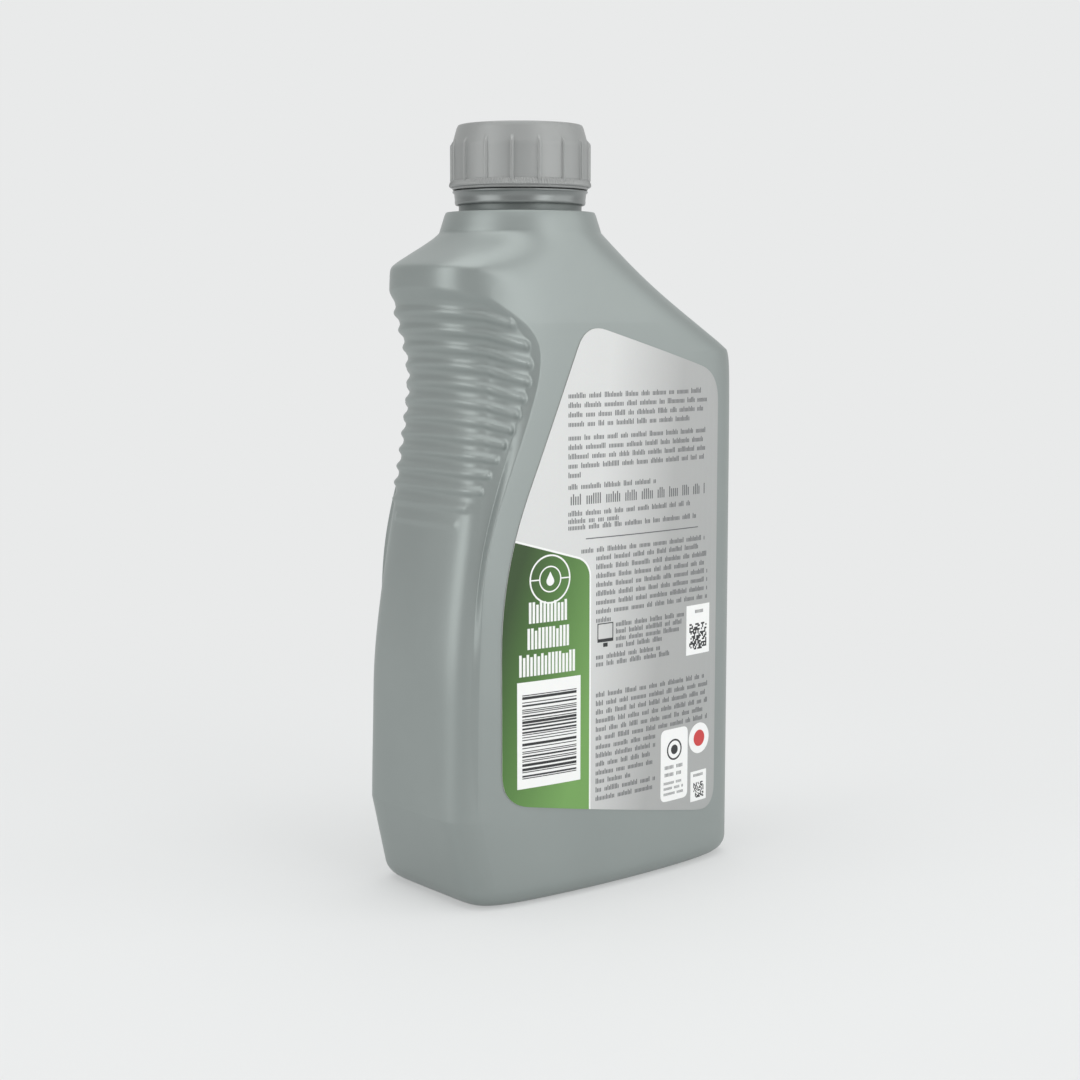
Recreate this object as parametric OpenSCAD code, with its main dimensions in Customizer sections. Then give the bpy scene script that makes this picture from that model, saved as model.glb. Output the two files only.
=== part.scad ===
// A one-quart motor oil bottle: a blown body with a ribbed grip down one
// narrow side, a round neck set over towards the grip, a finned screw cap with
// its seal disc, the tamper band that stays on the neck, and one label.
// Millimetres. Z is up, X runs across the width and the neck stands towards -X.

/* [Body] */
// Width of the body across its narrow sides
body_width = 111.6; // [104:0.4:120]
// Depth of the body measured at its corners
corner_depth = 50; // [47:0.5:56]
// How far each wide face bows out past the corners
face_bow = 4.6; // [2:0.1:7]
// Sharpness of the four upright corners
corner_power = 8.3; // [6:0.1:10]
// Sharpness of the corners beside the grip where they reach the brow
brow_power = 3.4; // [2.6:0.1:5]
// Thickness of the blown wall
wall = 1; // [0.8:0.1:1.4]
// Radius of the heel round the base
heel_r = 5.5; // [3.5:0.5:8]
// How far the grip side runs in below the crease
toe_in = 6.8; // [0:0.2:8]
// Height of the crease that ends the grip side
crease_z = 27; // [18:1:32]
// Height of the middle of the base above the foot
push_up = 3; // [1:0.5:5]

/* [Shoulder] */
// Height where the far side turns in to the sloping shoulder
shoulder_z = 161.5; // [152:0.5:168]
// How far the slope sags below a straight line up to the collar
shoulder_sag = 5.6; // [2:0.2:7]
// Rounding of the far shoulder
shoulder_soft = 4; // [0.5:0.1:5]
// Height of the brow over the grip
brow_z = 186.8; // [184:0.2:188]
// How far the brow stands in from the widest part of the grip side
brow_in = 3.4; // [1:0.2:8]
// Rounding of the brow
brow_soft = 1.6; // [0.1:0.1:3]
// How far the roof over the grip sags below a straight line up to the collar
roof_sag = 1; // [0:0.1:2]
// Height where the wide faces start to draw in to the collar
draw_in_z = 170; // [168:1:178]

/* [Neck] */
// Distance of the neck axis from the middle of the body
neck_offset = 13; // [8:0.5:18]
// Height of the lower edge of the collar
collar_z = 196.5; // [194:0.5:200]
// Height of the collar
collar_h = 6; // [4:0.5:8]
// Radius of the collar at its lower edge
collar_r = 24.2; // [23:0.1:26]
// How far the collar tapers in over its height
collar_taper = 1.9; // [0.5:0.1:3]
// Outer radius of the neck under the thread
neck_r = 17.4; // [16.6:0.1:17.6]
// Thickness of the neck
neck_wall = 1.5; // [1.2:0.1:2]
// Height of the neck from the collar to its rim
neck_h = 22.8; // [20:0.1:26]
// How far the bead that holds the band stands out
bead_out = 1.55; // [1.3:0.05:1.65]
// Height of that bead above the collar
bead_at = 5; // [4:0.1:5.2]

/* [Grip] */
// Height of the deepest part of the grip
grip_z = 150; // [146:0.4:158]
// Depth of the grip on the narrow side
grip_depth = 8.5; // [3:0.1:9]
// Depth of the grip on the wide faces
grip_face_depth = 1.6; // [0.5:0.1:3]
// Depth of the shallow panel that runs on below the grip
panel_depth = 0.4; // [0.1:0.1:1]
// How far the rolled edge reaches across the wide face at the shoulder
grip_reach = 26; // [22:0.5:28]
// How far the edge reaches across the wide face low on the body
panel_reach = 5; // [4:0.2:12]
// Width of the rolled edge round the grip
edge_w = 2.6; // [1.8:0.1:4]
// How far the ribs and the brow arch down at the edge
arch_drop = 5.6; // [3:0.1:7]
// Number of grip ribs
rib_count = 13; // [8:1:14]
// Spacing of the ribs
rib_pitch = 5.05; // [4:0.05:5.2]
// Height of the top rib
rib_top_z = 173.4; // [171:0.2:175]
// Height of each rib above the grip
rib_h = 1.1; // [0.5:0.1:1.8]
// Width of each rib as a share of the spacing
rib_share = 0.86; // [0.6:0.01:1]

/* [Cap] */
// Room between the neck and the side of the cap, where the thread runs
thread_room = 1.6; // [1.3:0.1:2]
// Height of the cap
cap_h = 18.9; // [17.8:0.1:19.1]
// Thickness of the side of the cap
cap_wall = 1.3; // [0.9:0.1:1.8]
// Height of the sloped upper part of the cap
cap_slope_h = 6; // [3:0.5:7]
// How far the cap slopes in up to its top
cap_slope_in = 1.7; // [0.5:0.1:1.9]
// Thickness of the top plate
cap_top_t = 1.6; // [1.2:0.1:2.4]
// How far the bead above the rim of the cap stands out
cap_bead_out = 0.75; // [0.3:0.05:1.2]
// Height of that bead
cap_bead_h = 2.6; // [1.6:0.1:4]
// Number of fins
fin_count = 16; // [8:1:32]
// Width of each fin
fin_w = 0.9; // [0.6:0.1:1.6]
// How far each fin stands out
fin_out = 0.5; // [0.3:0.05:0.7]

/* [Seal disc and tamper band] */
// Thickness of the seal disc in the cap
disc_t = 1; // [0.6:0.1:1.5]
// Thickness of the tamper band
band_wall = 0.65; // [0.5:0.05:1.1]
// Height of the tamper band
band_h = 4.2; // [3.8:0.1:4.4]

/* [Label] */
// Thickness of the label
label_t = 0.2; // [0.1:0.05:0.4]
// Half of the width of the label
label_half_w = 43; // [38:0.5:44]
// How far the label stands off centre, away from the grip
label_shift = 1; // [-1:0.5:2]
// Height of the top edge over the middle of the body
label_top_z = 166.8; // [150:0.2:167]
// How far the top edge falls for each millimetre away from the grip
label_top_fall = 0.28; // [0.1:0.01:0.4]
// Height of the bottom edge under the middle of the body
label_bottom_z = 24; // [18:0.5:40]
// How far the bottom edge falls for each millimetre away from the grip
label_bottom_fall = 0.18; // [0:0.01:0.25]
// Height where the edge beside the grip bends away from it
label_bend_z = 103; // [90:1:112]
// Where along the width the top corner beside the grip stands
label_peak_x = -12; // [-16:0.1:-8]
// Rounding of the label corners
label_corner_r = 9; // [4:0.5:12]
// Rounding of the top corner beside the grip
label_peak_r = 7.5; // [4:0.5:9]
// Rounding of the bend beside the grip
label_bend_r = 24; // [10:1:30]

/* [Hidden] */
$fn = 96;

// Body and neck
half_w = body_width / 2;
side_w = corner_depth / 2;
neck_x = -neck_offset;
collar_top_z = collar_z + collar_h;
collar_top_r = collar_r - collar_taper;
mouth_z = collar_top_z + neck_h;
bore_r = neck_r - neck_wall;
land_out = 0.9;
land_r = neck_r + land_out;
bead_r = neck_r + bead_out;
bead_h = 1.4;
bead_z = collar_top_z + bead_at;
rim_round = 0.4;
foot_out = 0.05;
foot_lap = 0.6;
foot_x = toe_in / 2;
foot_share = 0.93;
hollow_share = 0.86;
draw_in_power = 1.3;
far_round_power = 0.5;
grip_round_z = 95;

// Grip: the edge turns over above the ribs and flares out from low to high
edge_far = side_w + grip_reach;
edge_low = side_w + panel_reach;
edge_over_ribs = 7.6;
edge_turn = 16.6;
edge_power = 2.8;
edge_top_z = rib_top_z + edge_over_ribs;
edge_turn_z = edge_top_z - edge_turn;
flare_low_z = 101;
flare_high_z = 161;
flare_soft = [0.2, 0.1];
hold_above = 36.5;
hold_below = 88;
side_to_face = [14, 48];
pressed_to = [-10, 0];
arch_low_z = 105;
arch_high_z = 150;
rib_margin = 4.6;
rib_head = 2;
rib_taper = 0.0067;
rib_full_z = 160;

// Columns across half of the body and the reach of the fine ones at the corner
grip_cols = 16;
edge_step = 1.4;
face_cols = 4;
corner_cols = 6;
corner_reach = 12;
corner_end = 1;

// Gaps between the pieces
seal_gap = 0.1;
disc_gap = 0.2;
lip_gap = 0.2;
band_gap = 0.15;
label_gap = 0.06;

// Cap, seal disc and band, from the rim of the neck
disc_z = mouth_z + seal_gap;
cap_top_z = disc_z + disc_t + cap_top_t;
cap_z = cap_top_z - cap_h;
cap_bore_r = neck_r + thread_room;
cap_r = cap_bore_r + cap_wall;
cap_top_r = cap_r - cap_slope_in;
cap_flange_h = 0.7;
cap_edge_r = 0.6;
fin_fade = 3.4;
fin_sunk = 0.4;
disc_r = cap_top_r - cap_wall - disc_gap;
band_under_cap = 0.3;
band_z = cap_z - band_under_cap - band_h;
band_clear_r = bead_r + band_gap;
band_r = band_clear_r + band_wall;
band_bevel = 0.5;

// Gentle S from 0 to 1
function ease(t) = let (u = max(0, min(1, t))) u * u * (3 - 2 * u);
// Bell that falls from 1 in the middle to 0 at its reach
function bell(d, reach) = abs(d) < reach ? (1 + cos(180 * d / reach)) / 2 : 0;
function mix(a, b, t) = a + (b - a) * t;
// The smaller or the larger of two values with the corner between them rounded
function soft_min(a, b, k) = (a + b - sqrt((a - b) * (a - b) + k * k)) / 2;
function soft_max(a, b, k) = (a + b + sqrt((a - b) * (a - b) + k * k)) / 2;
// Evenly spaced values from a up to, but not including, b
function steps(a, b, n) = [for (i = [0 : n - 1]) mix(a, b, i / n)];
function flat(lists) = [for (l = lists) each l];
function turned(list) = [for (i = [len(list) - 1 : -1 : 0]) list[i]];

// How far the body has climbed from height low to the collar, 0 to 1
function climb(z, low) = max(0, (z - low) / (collar_z - low));
function heel_in(z) =
    z < heel_r ? heel_r - sqrt(heel_r * heel_r - pow(heel_r - max(z, 0), 2)) : 0;

// Side view: the grip side leans in to the brow, then a roof runs to the collar
function grip_side_x(h) =
    let (leaned = half_w - brow_in * ease((h - crease_z) / (brow_z - crease_z)),
         toed = h < crease_z ? toe_in * (1 - h / crease_z) : 0,
         t = (h - brow_z) / (collar_z - brow_z),
         sag = roof_sag * sin(180 * max(0, min(1, t))),
         roof = mix(half_w - brow_in, collar_r - neck_x, t) - sag)
    -soft_min(leaned - toed, roof, brow_soft);
// Side view: the far side is upright up to the shoulder, then slopes
function far_side_x(z) =
    let (t = (z - shoulder_z) / (collar_z - shoulder_z),
         sag = shoulder_sag * sin(180 * max(0, min(1, t))),
         roof = mix(half_w, collar_r + neck_x, t) - sag)
    soft_min(half_w, roof, shoulder_soft);
// Plan: from a rounded oblong on the body to the round collar
function depth_at(z) = mix(side_w, collar_r, pow(climb(z, draw_in_z), draw_in_power));
function bow_at(z) = face_bow * (1 - pow(climb(z, draw_in_z), draw_in_power));
function centre_x(z) = neck_x * ease(climb(z, shoulder_z));
function grip_power(h) =
    let (up_to_brow = ease((h - grip_round_z) / (brow_z - grip_round_z)))
    mix(mix(corner_power, brow_power, up_to_brow), 2, ease(climb(h, brow_z)));
function far_power(z) = mix(corner_power, 2, pow(climb(z, shoulder_z), far_round_power));

// Where a point s millimetres round from the middle of the grip side lies on
// a square that stands for the plan of the body
function on_square(s) =
    s < side_w ? [-1, s / side_w]
    : s < side_w + body_width ? [(s - side_w) / half_w - 1, 1]
    : [1, 1 - (s - side_w - body_width) / side_w];
// Plan of the plain body at height z, drawn in by t, where its row has height h
function envelope(s, z, h, t) =
    let (q = on_square(s), p = q[0] < 0 ? grip_power(h) : far_power(z),
         k = pow(pow(abs(q[0]), p) + pow(abs(q[1]), p), -1 / p),
         c = centre_x(z), inward = t + heel_in(z - t),
         reach = q[0] < 0 ? c - grip_side_x(h) : far_side_x(z) - c,
         x = c + k * q[0] * (reach - inward),
         bowed = bow_at(z) * (1 - x * x / (half_w * half_w)))
    [x, k * q[1] * (depth_at(z) + bowed - inward)];

// How far round the rolled edge of the grip lies at row height h
function edge_s(h) =
    h > edge_turn_z
        ? let (up = pow(min(1, (h - edge_turn_z) / edge_turn), edge_power))
          edge_far * pow(max(0.001, 1 - up), 1 / edge_power)
        : let (flare = (h - flare_low_z) / (flare_high_z - flare_low_z))
          mix(edge_low, edge_far, soft_min(1, soft_max(0, flare, flare_soft[0]), flare_soft[1]));
// Distance inside that edge
function inside_edge(s, h) =
    h > edge_turn_z
        ? let (a = (h - edge_turn_z) / edge_turn, b = s / edge_far, p = edge_power,
               f = max(1e-6, pow(a, p) + pow(b, p)),
               steep = norm([pow(a, p - 1) / edge_turn, pow(b, p - 1) / edge_far]),
               slope = pow(f, 1 / p - 1) * steep)
          (1 - pow(f, 1 / p)) / max(slope, 0.01)
        : min(edge_s(h) - s, h - crease_z);
// Depth of the grip below the plain body, t under the skin
function grip_depth_at(s, h, t) =
    let (hold = bell(h - grip_z, h > grip_z ? hold_above : hold_below),
         side = panel_depth + grip_depth * hold,
         face = panel_depth + grip_face_depth * hold,
         across = ease((s - side_to_face[0]) / (side_to_face[1] - side_to_face[0])))
    mix(side, face, across) * ease((inside_edge(s, h) + t) / edge_w);

// Ribs: each one ends a little way inside the rolled edge
function rib_z(i) = rib_top_z - rib_pitch * i;
function rib_end(i) =
    let (h = rib_z(i), near_edge = edge_s(min(h + rib_head, edge_top_z - rib_head)))
    near_edge - rib_margin - rib_taper * pow(max(0, rib_full_z - h), 2);
function rib_at(s, h) =
    let (i = max(0, min(rib_count - 1, round((rib_top_z - h) / rib_pitch))),
         along = max(0, s - rib_end(i)))
    rib_h * bell(norm([along, h - rib_z(i)]), rib_pitch * rib_share / 2);

// Ribs and brow arch down towards the wide faces
function arch(s, h) =
    arch_drop * pow(min(s, edge_far) / edge_far, 2)
    * ease((h - arch_low_z) / (arch_high_z - arch_low_z))
    * min(1, max(0, (collar_z - h) / (collar_z - brow_z)));

// One point of the body: s round, h up before the arch, t under the skin
function skin(s, h, t) =
    let (z = h - arch(s, h), e = envelope(s, z, h, t),
         deep = grip_depth_at(s, h, t) - (t > 0 ? 0 : rib_at(s, h)),
         to = pressed_to - e)
    [for (v = e + to / norm(to) * deep) v, z];

// Distances round at row height h, fine over the grip and at the corner
function half_columns(h) =
    let (s = max(edge_s(h), edge_low), corner = side_w + body_width)
    concat([for (i = [0 : grip_cols - 1]) s * (1 - pow(1 - i / grip_cols, 1.25))], [s],
           steps(s + edge_step, corner - corner_reach, face_cols),
           steps(corner - corner_reach, corner + corner_reach - corner_end, corner_cols),
           [corner + corner_reach - corner_end, corner + side_w]);
// One ring of points: round the front, then its mirror image round the back
function ring(h, t) =
    let (cols = half_columns(h), n = len(cols) - 1,
         half = [for (i = [0 : n]) skin(cols[i], h, t)],
         front = [for (p = half) [p[0], -p[1], p[2]]])
    concat(front, [for (i = [n - 1 : -1 : 1]) half[i]]);
// The lowest ring pulled in under the base
function pulled(points, share, z) =
    [for (p = points) [mix(foot_x, p[0], share), p[1] * share, z]];

// Heights of the rows of points on the outer and on the inner skin
function heel_rows(t, n) = [for (i = [0 : n]) t + heel_r * (1 - cos(90 * i / n))];
rib_rows = [for (i = [rib_count - 1 : -1 : 0]) for (j = [-1 : 1]) rib_z(i) + j * rib_pitch / 3];
outer_rows = concat(
    heel_rows(0, 4), [mix(heel_r, crease_z, 0.5), crease_z - 1],
    [for (lift = [0, 0.5, 1]) crease_z + lift * edge_w],
    steps(mix(crease_z, rib_rows[0], 0.2), rib_rows[0], 5), rib_rows,
    steps(rib_top_z + rib_pitch * 0.6, edge_top_z, 3), [edge_top_z],
    steps(mix(edge_top_z, brow_z, 0.4), brow_z, 2), [brow_z],
    steps(mix(brow_z, collar_z, 0.15), collar_z, 4), [collar_z]);
inner_rows = concat(
    heel_rows(wall, 2), [crease_z], steps(mix(crease_z, rib_rows[0], 0.5), rib_rows[0], 2),
    steps(rib_rows[0], rib_top_z, 7), steps(rib_top_z, edge_top_z + wall, 3),
    [edge_top_z + wall, brow_z - wall], steps(mix(brow_z, collar_z, 0.3), collar_z, 2), [collar_z]);

// Faces between rings of n points each, the first point being number first
function between_rings(rings, n, first) =
    [for (r = [0 : rings - 2]) for (c = [0 : n - 1])
        let (a = first + r * n + c, b = first + r * n + (c + 1) % n)
        each [[a, a + n, b + n], [a, b + n, b]]];
// Faces of a fan from one point to a ring
function fan(middle, n, first) =
    [for (c = [0 : n - 1]) [middle, first + c, first + (c + 1) % n]];

// The blown body up to the collar, with its true inside
module blown_body() {
    foot = ring(0, 0);
    floor_ring = ring(wall, wall);
    outer = concat([pulled(foot, hollow_share, push_up), pulled(foot, foot_share, 0)],
                   [for (h = outer_rows) ring(h, 0)]);
    inner = concat([pulled(floor_ring, hollow_share, push_up + wall),
                    pulled(floor_ring, foot_share, wall)],
                   [for (h = inner_rows) ring(h, wall)]);
    n = len(foot);
    outer_top = (len(outer) - 1) * n;
    inner_first = len(outer) * n;
    inner_top = inner_first + (len(inner) - 1) * n;
    middle = inner_top + n;
    points = concat(flat(outer), flat(inner),
                    [[foot_x, 0, push_up], [foot_x, 0, push_up + wall]]);
    outer_faces = concat(between_rings(len(outer), n, 0), fan(middle, n, 0));
    inner_faces = concat(between_rings(len(inner), n, inner_first),
                         fan(middle + 1, n, inner_first));
    rim_faces = [for (c = [0 : n - 1]) let (d = (c + 1) % n)
        each [[outer_top + c, inner_top + c, inner_top + d],
              [outer_top + c, inner_top + d, outer_top + d]]];
    polyhedron(points, concat(outer_faces, rim_faces, [for (f = inner_faces) turned(f)]),
               convexity = 6);
}

// The collar, the land, the bead that holds the band, and the open neck. Its
// foot laps a little over both edges of the body's wall
module neck() {
    translate([neck_x, 0, 0])
        rotate_extrude()
            polygon([
                [bore_r, mouth_z], [neck_r - rim_round, mouth_z], [neck_r, mouth_z - rim_round],
                [neck_r, bead_z + bead_h], [bead_r - rim_round, bead_z + bead_h],
                [bead_r, bead_z + bead_h - rim_round], [bead_r, bead_z], [land_r, bead_z],
                [land_r, collar_top_z], [collar_top_r - rim_round, collar_top_z],
                [collar_top_r, collar_top_z - rim_round], [collar_r + foot_out, collar_z],
                [collar_r - wall - foot_lap, collar_z],
                [collar_top_r - wall, collar_top_z - neck_wall],
                [bore_r, collar_top_z - neck_wall]]);
}

module bottle() {
    color([0.56, 0.6, 0.59]) {
        blown_body();
        neck();
    }
}

// The band's lip hangs under the bead of the neck
module tamper_band() {
    band_top_z = band_z + band_h;
    lip_r = land_r + lip_gap;
    color([0.67, 0.68, 0.67])
        translate([neck_x, 0, 0])
            rotate_extrude()
                polygon([
                    [lip_r, band_z], [band_r - band_bevel / 2, band_z],
                    [band_r, band_z + band_bevel], [band_r, band_top_z],
                    [band_clear_r, band_top_z], [band_clear_r, bead_z], [lip_r, bead_z]]);
}

// Rounds the corner at p between its neighbours a and b
function rounded_corner(a, p, b, size) =
    let (from = p + (a - p) / norm(a - p) * size, to = p + (b - p) / norm(b - p) * size)
    [for (t = [0 : 0.1 : 1]) mix(mix(from, p, t), mix(p, to, t), t)];
// Front view of the label
module label_outline() {
    left = label_shift - label_half_w;
    right = label_shift + label_half_w;
    corners = [
        [left, label_bottom_z - left * label_bottom_fall],
        [right, label_bottom_z - right * label_bottom_fall],
        [right, label_top_z - right * label_top_fall],
        [label_peak_x, label_top_z - label_peak_x * label_top_fall],
        [left, label_bend_z]];
    sizes = [label_corner_r, label_corner_r, label_corner_r, label_peak_r, label_bend_r];
    polygon(flat([for (i = [0 : 4])
        rounded_corner(corners[(i + 4) % 5], corners[i], corners[(i + 1) % 5], sizes[i])]));
}
// Plan of a strip as thick as the label over the front face
module face_strip() {
    end_gap = side_w / 4;
    line = [for (s = steps(side_w + end_gap, side_w + body_width - end_gap, 30))
        envelope(s, crease_z, crease_z, 0)];
    inside = [for (p = line) [p[0], -p[1] - label_gap]];
    outside = [for (p = line) [p[0], -p[1] - label_gap - label_t]];
    polygon(concat(inside, turned(outside)));
}
module label() {
    color([0.8, 0.81, 0.8])
        intersection() {
            linear_extrude(collar_z)
                face_strip();
            rotate([90, 0, 0])
                linear_extrude(corner_depth)
                    label_outline();
        }
}

// The seal disc that the cap presses on the rim
module cap_liner() {
    color([0.87, 0.87, 0.85])
        translate([neck_x, 0, disc_z])
            cylinder(r = disc_r, h = disc_t);
}

// Radius of the outside of the cap at height z
function cap_side_r(z) = mix(cap_r, cap_top_r, max(0, (z - cap_top_z) / cap_slope_h + 1));
module cap_shell() {
    slope_z = cap_top_z - cap_slope_h;
    plate_z = cap_top_z - cap_top_t;
    bead_low = cap_z + cap_flange_h;
    bead_high = bead_low + cap_bead_h;
    rotate_extrude()
        polygon([
            [0, plate_z], [cap_side_r(plate_z) - cap_wall, plate_z], [cap_bore_r, slope_z],
            [cap_bore_r, cap_z], [cap_r - cap_bead_out / 4, cap_z],
            [cap_r - cap_bead_out / 4, bead_low], [cap_r + cap_bead_out, bead_low],
            [cap_r + cap_bead_out, bead_high], [cap_r, bead_high + cap_bead_out / 2],
            [cap_r, slope_z], [cap_side_r(cap_top_z - cap_edge_r), cap_top_z - cap_edge_r],
            [cap_top_r - cap_edge_r, cap_top_z], [0, cap_top_z]]);
}
// One upright fin, which fades out on the slope
module fin() {
    fin_z = cap_z + cap_flange_h + cap_bead_h / 2;
    slope_z = cap_top_z - cap_slope_h;
    fade_z = slope_z + fin_fade;
    rotate([90, 0, 0])
        linear_extrude(fin_w, center = true)
            polygon([
                [cap_r - fin_sunk, fin_z], [cap_r + fin_out, fin_z], [cap_r + fin_out, slope_z],
                [cap_side_r(fade_z), fade_z], [cap_side_r(fade_z) - fin_sunk, fade_z]]);
}
module cap() {
    color([0.57, 0.58, 0.58])
        translate([neck_x, 0, 0]) {
            cap_shell();
            for (i = [0 : fin_count - 1])
                rotate(i * 360 / fin_count)
                    fin();
        }
}

bottle();
tamper_band();
label();
cap_liner();
cap();
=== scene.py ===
# %% [markdown]
# # A motor oil bottle
# The object is a one-quart oil bottle: a blown body with a ribbed grip down one
# narrow side, a finned screw cap, the tamper band under it and one printed label.
# Its solids come packed in a frame, in metres. The scene dresses them: it makes
# the finer meshes, the finishes, the light and the camera, and moves nothing.

# %% Load the frame
import math
import random

import bpy
import bmesh
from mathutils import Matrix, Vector


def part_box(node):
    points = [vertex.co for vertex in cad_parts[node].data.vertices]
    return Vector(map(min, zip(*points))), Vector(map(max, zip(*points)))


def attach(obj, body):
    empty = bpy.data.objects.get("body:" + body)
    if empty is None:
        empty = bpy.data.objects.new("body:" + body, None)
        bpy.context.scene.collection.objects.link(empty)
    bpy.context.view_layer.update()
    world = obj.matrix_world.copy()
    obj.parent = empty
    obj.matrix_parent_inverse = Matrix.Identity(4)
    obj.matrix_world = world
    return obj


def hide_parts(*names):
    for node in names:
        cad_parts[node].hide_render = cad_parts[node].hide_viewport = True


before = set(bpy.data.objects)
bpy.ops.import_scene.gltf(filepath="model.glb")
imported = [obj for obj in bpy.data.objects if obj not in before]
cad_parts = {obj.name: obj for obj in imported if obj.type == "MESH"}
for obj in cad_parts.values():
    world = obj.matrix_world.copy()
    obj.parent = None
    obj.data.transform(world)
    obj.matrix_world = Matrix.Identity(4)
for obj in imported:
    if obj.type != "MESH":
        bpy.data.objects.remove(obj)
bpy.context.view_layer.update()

# %% [markdown]
# ## Sizes
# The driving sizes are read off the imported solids, so the scene follows them.
# The rest repeats the named values of the part's source. Everything is worked
# out in millimetres, which are easier to think in, and turned into metres last.

# %% Sizes from the frame
MM = 0.001


def node_box(name):
    """Lowest and highest corner of a node, in millimetres."""
    low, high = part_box(name)
    return Vector(low) / MM, Vector(high) / MM


bottle_low, bottle_high = node_box("bottle")
cap_low, cap_high = node_box("cap")
band_low, band_high = node_box("tamper_band")
half_w = (bottle_high.x - bottle_low.x) / 2
mouth_z = bottle_high.z
neck_x = (cap_low.x + cap_high.x) / 2
print("half width", round(half_w, 2), "mouth", round(mouth_z, 2), "neck", round(neck_x, 2))

# %% Sizes of the body
side_w = 25.0
body_w = 2 * half_w
face_bow = 4.6
corner_power = 8.3
wall = 1.0
heel_r = 5.5
toe_in = 6.8
crease_z = 27.0
push_up = 3.0
shoulder_z, shoulder_sag, shoulder_soft = 161.5, 5.6, 4.0
brow_z, brow_in, brow_soft, brow_power, roof_sag = 186.8, 3.4, 1.6, 3.4, 1.0
draw_in_z, draw_in_power, far_round_power, grip_round_z = 170.0, 1.3, 0.5, 95.0
collar_z, collar_h, collar_r, collar_taper = 196.5, 6.0, 24.2, 1.9
collar_top_z = collar_z + collar_h
collar_top_r = collar_r - collar_taper
neck_r, neck_wall, land_out, bead_out = 17.4, 1.5, 0.9, 1.55
bead_z, bead_h = collar_top_z + 5.0, 1.4

# %% Sizes of the grip
grip_z, grip_depth, grip_face_depth, panel_depth = 150.0, 8.5, 1.6, 0.45
edge_w, edge_turn, edge_power = 4.2, 16.6, 2.8
edge_far, edge_low = side_w + 26.0, side_w + 5.0
flare_low_z, flare_high_z = 101.0, 161.0
hold_above, hold_below = 36.5, 88.0
side_to_face = (14.0, 48.0)
pressed_to = Vector((-10.0, 0.0))
arch_drop, arch_low_z, arch_high_z = 5.6, 105.0, 150.0
rib_count, rib_pitch, rib_top_z, rib_h, rib_share = 13, 5.05, 173.4, 1.1, 0.86
rib_margin, rib_head, rib_taper, rib_full_z = 4.6, 2.0, 0.0067, 160.0
rib_fade = (1.0, 0.7, 0.35)
nub_h, nub_reach = 0.25, 1.7
belly, belly_reach = 1.1, 22.0
belly_low_z, belly_rise, belly_top_z, belly_fall = 35.0, 45.0, 180.0, 14.0
crease_ease, crease_soft, flare_soft = 0.15, 0.6, (0.2, 0.1)
corner_cut, corner_cut_off, corner_cut_reach = 0.6, 2.0, 16.0
corner_cut_z, corner_cut_tall = 95.0, 45.0
crisp_s, crisp_over, crisp_fade = (12.0, 26.0), 14.0, 8.0
slant_soft = 0.3
edge_top_z = rib_top_z + 7.6
edge_turn_z = edge_top_z - edge_turn

# %% A helper for objects


def place_object(name, data):
    """A new object in the scene that shows this data."""
    made = bpy.data.objects.new(name, data)
    bpy.context.collection.objects.link(made)
    return made


# %% [markdown]
# ## The camera
# The camera stands where the photographer's did, to the left of the labelled
# face and a little above the middle. Its place was fitted to the upright edges
# and the round cap, so the bottle falls on the same part of the picture.

# %% Camera
camera_at = Vector((-378.1, -463.05, 177.79))
camera_down = math.radians(7.118)
camera_turn = math.radians(-38.829)
focal_px = 1951.16
picture_px = 1080

camera_data = bpy.data.cameras.new("camera")
camera_data.sensor_width = 36.0
camera_data.lens = focal_px / picture_px * camera_data.sensor_width
camera_data.clip_start = 0.01
camera = place_object("camera", camera_data)
camera.location = camera_at * MM
camera.rotation_euler = (math.pi / 2 - camera_down, 0.0, camera_turn)
bpy.context.scene.camera = camera
print("lens", round(camera_data.lens, 2), "mm")

# %% [markdown]
# ## Floor and light
# The photo is a plain studio shot on white. Two tall soft boxes, one past the
# grip side and one in front of the labelled face, draw the two light bands down
# every round form. A broader box fills the labelled face, and one overhead lights
# the roof and the cap. A wide pale floor takes a soft shadow, and further out its
# paper fades into the backdrop, so no horizon shows.
#
# Every finish here is a small net of nodes, so a few helpers come first. Each
# adds one node and feeds it with plain values or with what other nodes give.

# %% Helpers for materials


def srgb(red, green, blue):
    """Colour as it looks on screen, 0 to 255, to the linear values Blender uses."""
    def linear(c):
        c /= 255
        return c / 12.92 if c <= 0.04045 else ((c + 0.055) / 1.055) ** 2.4
    return (linear(red), linear(green), linear(blue), 1.0)


def feed(tree, node, inputs):
    """Give inputs their plain values, or link them to what other nodes give."""
    for key, value in inputs.items():
        if isinstance(value, bpy.types.NodeSocket):
            tree.links.new(value, node.inputs[key])
        else:
            node.inputs[key].default_value = value
    return node


def add_node(tree, kind, inputs):
    return feed(tree, tree.nodes.new("ShaderNode" + kind), inputs)


def new_material(name):
    """A material, its node tree, its shader and the place of a point on its piece."""
    material = bpy.data.materials.new(name)
    material.use_nodes = True
    tree = material.node_tree
    place = add_node(tree, "TexCoord", {}).outputs["Object"]
    return material, tree, tree.nodes["Principled BSDF"], place


def maths(tree, operation, *values):
    """Work out one value from others."""
    node = add_node(tree, "Math", dict(enumerate(values)))
    node.operation = operation
    return node.outputs["Value"]


def vector_maths(tree, operation, *vectors):
    """Work out one value from vectors."""
    node = add_node(tree, "VectorMath", dict(enumerate(vectors)))
    node.operation = operation
    return node.outputs["Value"]


def stretched(tree, value, span, to_span=(0.0, 1.0), kind="LINEAR"):
    """Carry a value from one span on to another, and hold it at both ends."""
    node = add_node(tree, "MapRange", {
        "Value": value, "From Min": span[0], "From Max": span[1],
        "To Min": to_span[0], "To Max": to_span[1]})
    node.interpolation_type = kind
    return node.outputs["Result"]


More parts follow.
